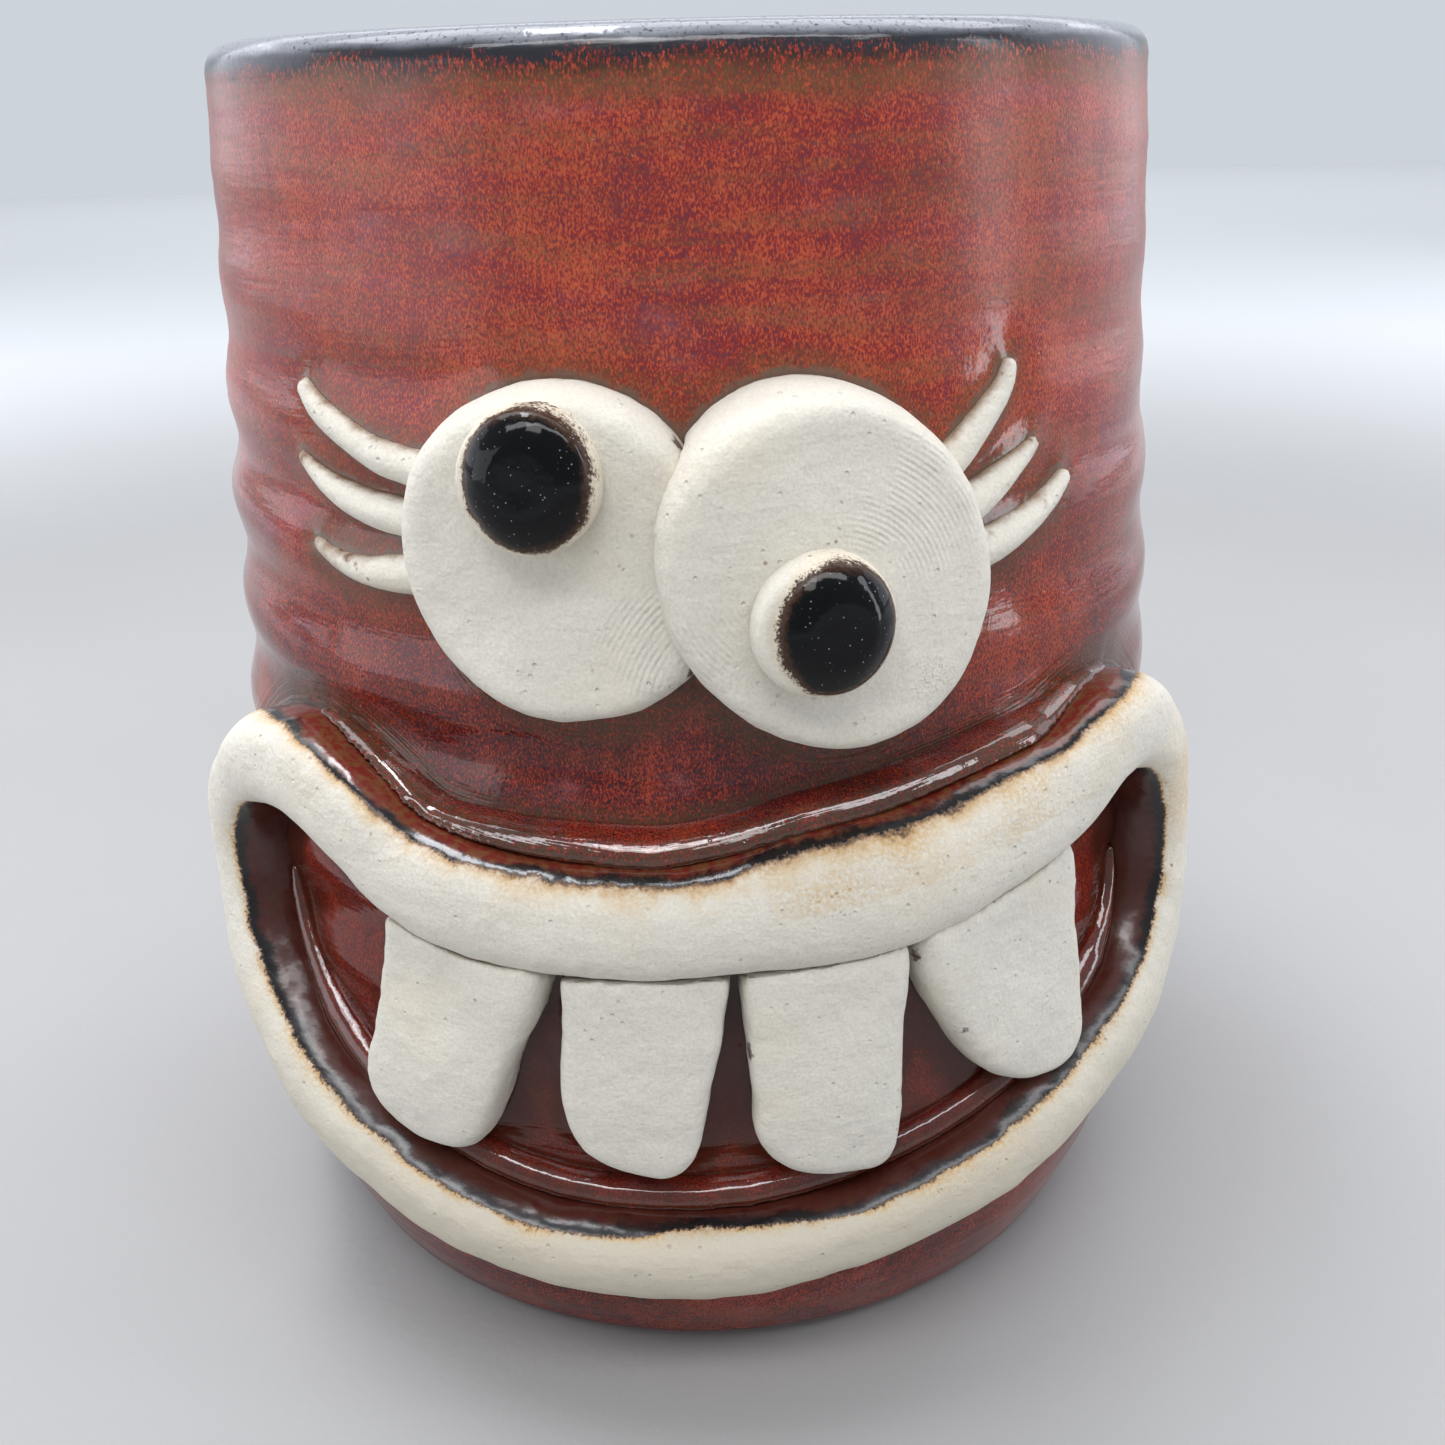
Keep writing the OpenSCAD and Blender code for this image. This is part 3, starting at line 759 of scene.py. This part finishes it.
def finger_marks(co):
    """Throwing rings and fine lines left by the potter's fingers, as a distance outwards."""
    z, az = co[:, 2], azimuth(co)
    turns = z / FINGER_RING_PITCH - az / math.tau
    spiral = np.sin(math.tau * turns + 1.7 * lumps(co, 30 * MM, 12))
    marks = 0.24 * MM * spiral * ring_strength(z)
    marks += 0.05 * MM * lumps(co, (26 * MM, 26 * MM, 1.7 * MM), 13)
    marks += 0.07 * MM * lumps(co, (9 * MM, 9 * MM, 4.2 * MM), 15)
    return marks + 0.035 * MM * lumps(co, (18 * MM, 18 * MM, 0.9 * MM), 14)


def ring_ridges(co):
    """Bulge of the wall compared with the wall just above and below it, from about -1 to 1."""
    order = np.argsort(co[:, 2])
    z, r = co[order, 2], axis_distance(co)[order]
    grid = np.arange(0, CUP_HEIGHT, 0.5 * MM)
    mean = np.array([np.mean(r[(z > g - 0.6 * MM) & (z < g + 0.6 * MM)]) for g in grid])
    wide = np.convolve(np.pad(mean, 10, "edge"), np.ones(21) / 21, "valid")
    local = axis_distance(co) - np.interp(co[:, 2], grid, wide)
    return np.clip(local / (0.35 * MM), -1.2, 1.2)


def turned_mesh(co, n_rows, n_cols):
    """A skin over n_rows rings of points. Two middle vertices close it, the last two of the mesh:
    one underneath the cup and one on the floor inside."""
    under, floor = len(co), len(co) + 1
    verts = [tuple(v) for v in co]
    verts += [(0, 0, 0), (0, 0, float(np.mean(co[-n_cols:, 2])))]
    following = [(j + 1) % n_cols for j in range(n_cols)]
    faces = []
    for i in range(n_rows - 1):
        a, b = i * n_cols, (i + 1) * n_cols
        faces += [(a + j, a + k, b + k, b + j) for j, k in enumerate(following)]
    last = (n_rows - 1) * n_cols
    for j, k in enumerate(following):
        faces += [(under, k, j), (floor, last + j, last + k)]
    mesh = bpy.data.meshes.new("pot_skin")
    mesh.from_pydata(verts, [], faces)
    return mesh


def make_pot(glaze, clay_tree, seam_tree, line):
    """The thrown pot, turned from its CAD outline, with finger marks, an uneven rim and a fillet of
    glaze along the clay pieces."""
    profile, az = cast_profile(), columns()
    n_rows, n_cols = len(profile), len(az)
    r, z = np.repeat(profile, n_cols, axis=0).T
    turn = np.tile(az, n_rows)
    co = np.stack([r * np.sin(turn), -r * np.cos(turn), z], axis=1)
    row = np.repeat(np.arange(n_rows), n_cols)
    rim_row = int(np.argmax(profile[:, 1]))
    outer = smoothstep(rim_row - row, 0, 12) * smoothstep(z, 0, 4 * MM)
    on_wall = row >= FOOT_ROWS
    face = on_wall & (row < rim_row) & (co[:, 1] < 0)

    near = np.full(len(co), NEAR_REACH)
    near[face] = distance_to(clay_tree, co[face], NEAR_REACH)
    to_coils = near.copy()
    from_seams = distance_to(seam_tree, co[face], NEAR_REACH) + 0.4 * MM
    to_coils[face] = np.minimum(near[face], from_seams)
    fillet = (0.26 + 0.19 * smoothstep(z, *GLAZE_THICKENS)) * MM * np.exp(-to_coils / (0.9 * MM))
    marks = finger_marks(co) * smoothstep(to_coils, 0, 4 * MM) * outer + fillet * face
    moved = swayed(co, outer) + radial(co) * marks[:, None]
    co = np.where(on_wall[:, None], moved, co)
    by_rim = smoothstep(z, CUP_HEIGHT - 8 * MM, CUP_HEIGHT)
    rim_wave = 0.35 * MM * lumps(co * (1, 1, 0), 34 * MM, 21) * by_rim
    co[:, 2] += np.minimum(rim_wave, 0)

    mesh = turned_mesh(co, n_rows, n_cols)
    mouth = smoothstep(-outside_lip(co, line), -1 * MM, 2 * MM) * face
    inside = smoothstep(row, rim_row - 1, rim_row + 6)
    bare = (z < 0.6 * MM) & (row < rim_row)
    far = NEAR_REACH / MM
    for name, values, at_under, at_floor in (
            ("near", near / MM, far, far), ("ridge", ring_ridges(co) * outer, 0, 0),
            ("mouth", mouth, 0, 0), ("inside", inside, 0, 1), ("bare", bare, 1, 0)):
        set_field(mesh, name, np.append(values, (at_under, at_floor)))
    install("pot", "pot_shell", mesh, glaze)


# ---- clay pieces ----

def lip_joints():
    """Where the upper lip's ends meet the lower lip's: a point, a direction and a reach each."""
    upper, lower = (points_of(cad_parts[n].data) for n in LIPS)
    touching = 0.01 * MM
    shared = np.array([p for p in upper if np.min(np.linalg.norm(lower - p, axis=1)) < touching])
    for side in (-1, 1):
        end = shared[shared[:, 0] * side > 0]
        centre = end.mean(axis=0)
        across = np.linalg.svd(end - centre)[2][2]
        radius = np.linalg.norm(end - centre, axis=1).max()
        yield Vector(centre), Vector(across), radius + 2.5 * MM


def lip_ring():
    """Both lips as one hand-smoothed ring, so that they meet without a step, with its glaze fields,
    and the lips' middle line."""
    mesh = handled(remeshed(LIPS, 0.42 * MM, 14), 120, 0.38 * MM, 0.10 * MM)
    co, n = points_of(mesh), normals_of(mesh)
    line = lip_line(co)
    facing = np.sum(n * radial(co), axis=1)
    upper = upper_share(co)
    outer = smoothstep(outside_lip(co, line), -0.4 * MM, 0.8 * MM)
    bottom = smoothstep(from_top(co), math.radians(125), math.radians(165))
    outer_limit = 0.56 * upper - 0.25 * (1 - upper)
    inner_limit = 0.10 * upper + (1 - upper) * (0.62 - 0.27 * bottom)
    limit = outer * outer_limit + (1 - outer) * inner_limit
    set_field(mesh, "glaze", blurred(mesh, (limit - facing) * 3.6, 5))
    set_field(mesh, "inner", 1 - outer)
    by_corner = smoothstep(np.abs(from_top(co) - math.radians(50)), math.radians(13), 0)
    sideways = smoothstep(facing, 0.95, 0.3)
    set_field(mesh, "corner", blurred(mesh, by_corner * (1 - outer) * sideways, 4))
    set_points(mesh, swayed(co))
    return mesh, line


def loose_part(start):
    """All vertices joined by edges to start."""
    found, todo = {start}, [start]
    while todo:
        for edge in todo.pop().link_edges:
            for v in edge.verts:
                if v not in found:
                    found.add(v)
                    todo.append(v)
    return found


def make_lips(ring, material):
    """Cut the ring into the upper and the lower lip at the mouth's corners, and close the ends."""
    whole = bmesh.new()
    whole.from_mesh(ring)
    edges = []
    for centre, across, reach in lip_joints():
        faces = [f for f in whole.faces if (f.calc_center_median() - centre).length < reach]
        parts = dict.fromkeys(part for f in faces for part in (*f.verts, *f.edges, f))
        made = bmesh.ops.bisect_plane(
            whole, geom=list(parts), plane_co=centre, plane_no=across, dist=1e-7)
        edges += [e for e in made["geom_cut"] if isinstance(e, bmesh.types.BMEdge)]
    bmesh.ops.split_edges(whole, edges=edges)
    whole.to_mesh(ring)
    whole.free()
    for node, pick in zip(LIPS, (max, min)):
        half = bmesh.new()
        half.from_mesh(ring)
        start = pick((v for v in half.verts if abs(v.co.x) < 2 * MM), key=lambda v: v.co.z)
        kept = loose_part(start)
        bmesh.ops.delete(half, geom=[v for v in half.verts if v not in kept], context="VERTS")
        open_edges = [e for e in half.edges if e.is_boundary]
        for e in open_edges:
            e.smooth = False
        bmesh.ops.holes_fill(half, edges=open_edges)
        mesh = bpy.data.meshes.new(node + "_clay")
        half.to_mesh(mesh)
        half.free()
        install(node, node + "_coil", mesh, material)


def make_seam(node, glaze, seed):
    """A thin coil under the glaze, pressed along a lip."""
    mesh = handled(remeshed([node], 0.28 * MM, 8), seed, 0.10 * MM, 0.03 * MM, 0.5 * MM)
    co = points_of(mesh)
    set_field(mesh, "near", distance_to(cad_tree(*LIPS), co, NEAR_REACH) / MM * 1.3 + 1.0)
    set_field(mesh, "mouth", np.full(len(co), 0.8 if node == "inner_lip_seam" else 0.0))
    for name in ("ridge", "inside", "bare"):
        set_field(mesh, name, np.zeros(len(co)))
    set_points(mesh, swayed(co))
    install(node, node + "_coil", mesh, glaze)


def face_axes(node):
    """Middle and half size of a node's box, and the directions outwards and to the viewer's right
    at its middle."""
    low, high = (np.array(v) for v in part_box(node))
    middle = (low + high) / 2
    out = radial(middle[None])[0]
    return middle, (high - low) / 2, out, np.array([-out[1], out[0], 0])


def dished(mesh, node, seed):
    """Press the middle of an eye in a little, leaving a soft uneven border."""
    co, n = points_of(mesh), normals_of(mesh)
    middle, half, out, right = face_axes(node)
    across = (co - middle) @ right / (half[0] / abs(right[0]))
    share = np.hypot(across, (co[:, 2] - middle[2]) / half[2])
    depth = 0.5 * MM * smoothstep(share, 0.92, 0.70) * (0.6 + 0.6 * lumps(co, 13 * MM, seed))
    co -= n * (depth * smoothstep(n @ out, 0.5, 0.9))[:, None]
    set_points(mesh, co)


def make_slab(node, material, pot_tree, seed, voxel, rounds, big, small, swell=0.0):
    """An eye, lash or tooth. Its near field is the distance to the wall's glaze."""
    mesh = handled(remeshed([node], voxel, rounds), seed, big, small)
    if node in EYES:
        dished(mesh, node, seed + 7)
    co = points_of(mesh) + normals_of(mesh) * swell
    set_field(mesh, "near", distance_to(pot_tree, co, 6 * MM) / MM)
    set_points(mesh, swayed(co))
    install(node, node + "_clay", mesh, material)


def make_pupil(node, material, seed, offset, cap_radius):
    """A pellet whose black glaze disc sits offset from its middle, in metres across and up."""
    mesh = handled(remeshed([node], 0.24 * MM, 8), seed, 0.08 * MM, 0.02 * MM)
    co, n = points_of(mesh), normals_of(mesh)
    middle, _, out, right = face_axes(node)
    across = (co - middle) @ right - offset[0]
    up = co[:, 2] - middle[2] - offset[1]
    cap = cap_radius - np.hypot(across * 1.07, up)
    cap = np.where(np.sum(n * out, axis=1) > -0.2, cap, -3 * MM)
    inward = np.clip((cap + 0.1 * MM) / (3.0 * MM), 0, 1)
    dome = 1.45 * MM * (1 - (1 - inward) ** 2)
    set_points(mesh, swayed(co + n * dome[:, None]))
    set_field(mesh, "cap", cap / MM)
    install(node, node + "_pellet", mesh, material)


def marks_on(node, places):
    """Centres and reaches of marks on a piece's face, from shares of its box across and up."""
    low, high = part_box(node)
    tree = cad_tree(node)
    marks = []
    for a, b, reach in places:
        x, z = low.x + a * (high.x - low.x), low.z + b * (high.z - low.z)
        start = Vector((x, low.y - 5 * MM, z))
        found = tree.ray_cast(start, Vector((0, 1, 0)))[0] or start
        marks.append((tuple(found), reach))
    return marks


def make_eyes(pot_tree):
    """Both eyes. Their fingerprints are listed as a patch and then the middle of its rings."""
    places = {
        "left_eye": {
            "prints": [(0.80, 0.27, 7 * MM), (1.10, 0.02, 0)],
            "stains": [(0.88, 0.79, 0.9 * MM), (0.84, 0.83, 0.7 * MM),
                       (0.66, 0.50, 0.2 * MM), (0.87, 0.18, 0.9 * MM)]},
        "right_eye": {
            "prints": [(0.10, 0.40, 6 * MM), (0.42, 0.55, 0),
                       (0.76, 0.68, 8 * MM), (0.52, 0.42, 0)],
            "stains": [(0.33, 0.20, 0.2 * MM)],
            "crusts": [(0.82, 0.20, 3.0 * MM)]}}
    for i, node in enumerate(EYES):
        marks = {kind: marks_on(node, rows) for kind, rows in places[node].items()}
        marks["prints"] = list(zip(marks["prints"][::2], marks["prints"][1::2]))
        clay = make_clay(f"{node}_clay", CLAY, 0.5, **marks)
        make_slab(node, clay, pot_tree, 40 + 3 * i, 0.42 * MM, 12, 0.42 * MM, 0.09 * MM)


def make_lashes(pot_tree):
    clay = make_clay("lash_clay", CLAY, 0.9)
    for i, node in enumerate(LASHES):
        make_slab(node, clay, pot_tree, 60 + 3 * i, 0.24 * MM, 6, 0.16 * MM, 0.07 * MM, 0.22 * MM)


def make_teeth(pot_tree):
    nicks = marks_on("tooth_right", [(0.06, 0.62, 0.8 * MM), (0.05, 0.48, 0.8 * MM)])
    nicks += marks_on("tooth_far_right", [(0.08, 0.74, 0.7 * MM), (0.30, 0.42, 0.3 * MM)])
    clay = make_clay("tooth_clay", TOOTH_CLAY, 0.9, stains=nicks)
    for i, node in enumerate(TEETH):
        make_slab(node, clay, pot_tree, 90 + 3 * i, 0.42 * MM, 15, 0.50 * MM, 0.14 * MM)


# ---- camera, light and floor ----

def make_camera():
    """The photographer's close view: just above the face, tilted down to it."""
    place = (0, -158.3 * MM, 119.9 * MM)
    pitch, roll, yaw = math.radians(23.73), math.radians(-1.47), math.radians(0.94)
    level = math.cos(pitch)
    ahead = Vector((math.sin(yaw) * level, math.cos(yaw) * level, -math.sin(pitch)))
    right = Vector((math.cos(yaw), -math.sin(yaw), 0))
    up = right.cross(ahead)
    tilted_right = math.cos(roll) * right + math.sin(roll) * up
    tilted_up = -math.sin(roll) * right + math.cos(roll) * up
    data = bpy.data.cameras.new("camera")
    data.sensor_width = 36
    data.lens = 36.05
    data.clip_start = 0.005
    camera = link("camera", data)
    turn = Matrix((tilted_right, tilted_up, -ahead)).transposed().to_4x4()
    camera.matrix_world = Matrix.Translation(place) @ turn
    bpy.context.scene.camera = camera


def make_world():
    """A pale even room, a little darker on the viewer's side."""
    world = bpy.data.worlds.new("room")
    world.use_nodes = True
    sky = world.node_tree
    way = sky.nodes.new("ShaderNodeTexCoord")
    parts = sky.nodes.new("ShaderNodeSeparateXYZ")
    fade = sky.nodes.new("ShaderNodeMapRange")
    fade.inputs["From Min"].default_value, fade.inputs["From Max"].default_value = -0.9, 0.2
    fade.inputs["To Min"].default_value, fade.inputs["To Max"].default_value = 0.52, 0.88
    sky.links.new(way.outputs["Generated"], parts.inputs[0])
    sky.links.new(parts.outputs["Y"], fade.inputs["Value"])
    sky.links.new(fade.outputs["Result"], sky.nodes["Background"].inputs["Strength"])
    sky.nodes["Background"].inputs["Color"].default_value = (0.69, 0.745, 0.80, 1)
    bpy.context.scene.world = world
    bpy.context.scene.view_settings.view_transform = "Standard"


def make_light(name, place, size, watts, color, target=(0, 0, 0.06)):
    """A soft rectangular lamp, turned to its target and hidden from the camera."""
    data = bpy.data.lights.new(name, "AREA")
    data.shape = "RECTANGLE"
    data.size, data.size_y = size
    data.energy = watts
    data.color = color
    lamp = link(name, data)
    lamp.location = place
    lamp.rotation_euler = (Vector(target) - Vector(place)).to_track_quat("-Z", "Y").to_euler()
    lamp.visible_camera = False


def make_lights():
    make_light("window_high", (-0.10, -0.42, 0.58), (0.20, 0.16), 0.6, (1.0, 0.99, 0.97))
    make_light("strip_high", (0, -0.36, 0.62), (1.0, 0.10), 2.4, (0.97, 0.97, 1.0))
    make_light("window_left", (-0.41, -0.18, 0.13), (0.34, 0.18), 0.34, (0.93, 0.94, 1.0),
               (0, 0, 0.10))
    make_light("window_right", (0.42, -0.14, 0.18), (0.06, 0.34), 0.42, (0.90, 0.93, 1.0))
    make_light("back_left", (-0.80, 0.38, 0.34), (0.80, 0.52), 1.9, (0.86, 0.88, 1.0))
    make_light("back_right", (0.80, 0.38, 0.34), (0.80, 0.62), 2.1, (0.86, 0.88, 1.0))
    make_light("overhead", (0.0, 0.14, 0.58), (0.9, 0.22), 2.3, (0.95, 0.96, 1.0))
    make_light("skylight", (-0.12, 0.02, 0.62), (0.26, 0.10), 1.5, (0.93, 0.95, 1.0))
    make_light("far_wash", (0, 1.5, 1.1), (2.8, 0.8), 8.5, (0.93, 0.96, 1.0), (0, 1.6, 0))


def make_floor():
    """A plain pale floor, greyer round the cup."""
    p = Paint("floor_paint")
    grey = p.mix(p.noise(90 * MM, 3, 0.5), (0.325, 0.32, 0.315), (0.355, 0.35, 0.345))
    color = p.mix(p.step(p.distance((0, 0, 0)), 0.28, 0.72), grey, (0.78, 0.785, 0.79))
    p.finish(color, 0.6, p.relief(p.noise(1.5 * MM, 3), 0.05 * MM))
    half, cells = 2.0, 8
    steps, across = np.linspace(-half, half, cells + 1), cells + 1
    verts = [(x, y, 0) for y in steps for x in steps]
    corners = [i + j * across for j in range(cells) for i in range(cells)]
    faces = [(c, c + 1, c + across + 1, c + across) for c in corners]
    mesh = bpy.data.meshes.new("floor")
    mesh.from_pydata(verts, [], faces)
    mesh.materials.append(p.material)
    link("floor", mesh)


def main():
    make_camera()
    make_world()
    make_lights()
    make_floor()
    glaze = make_glaze("red_glaze", 1.42, 0.07)
    pooled = make_glaze("pooled_glaze", 1.62, 0.03, 0.35)
    pot_tree = cad_tree("pot")
    ring, line = lip_ring()
    make_pot(glaze, cad_tree(*EYES, *LASHES, *LIPS, *TEETH), cad_tree(*SEAMS), line)
    make_lips(ring, make_lip_clay())
    make_eyes(pot_tree)
    make_lashes(pot_tree)
    make_teeth(pot_tree)
    for i, node in enumerate(SEAMS):
        make_seam(node, pooled, 130 + 3 * i)
    black = make_pupil_glaze()
    make_pupil("left_pupil", black, 140, (0.25 * MM, 0.25 * MM), 5.3 * MM)
    make_pupil("right_pupil", black, 143, (0.6 * MM, 0.1 * MM), 5.15 * MM)


main()
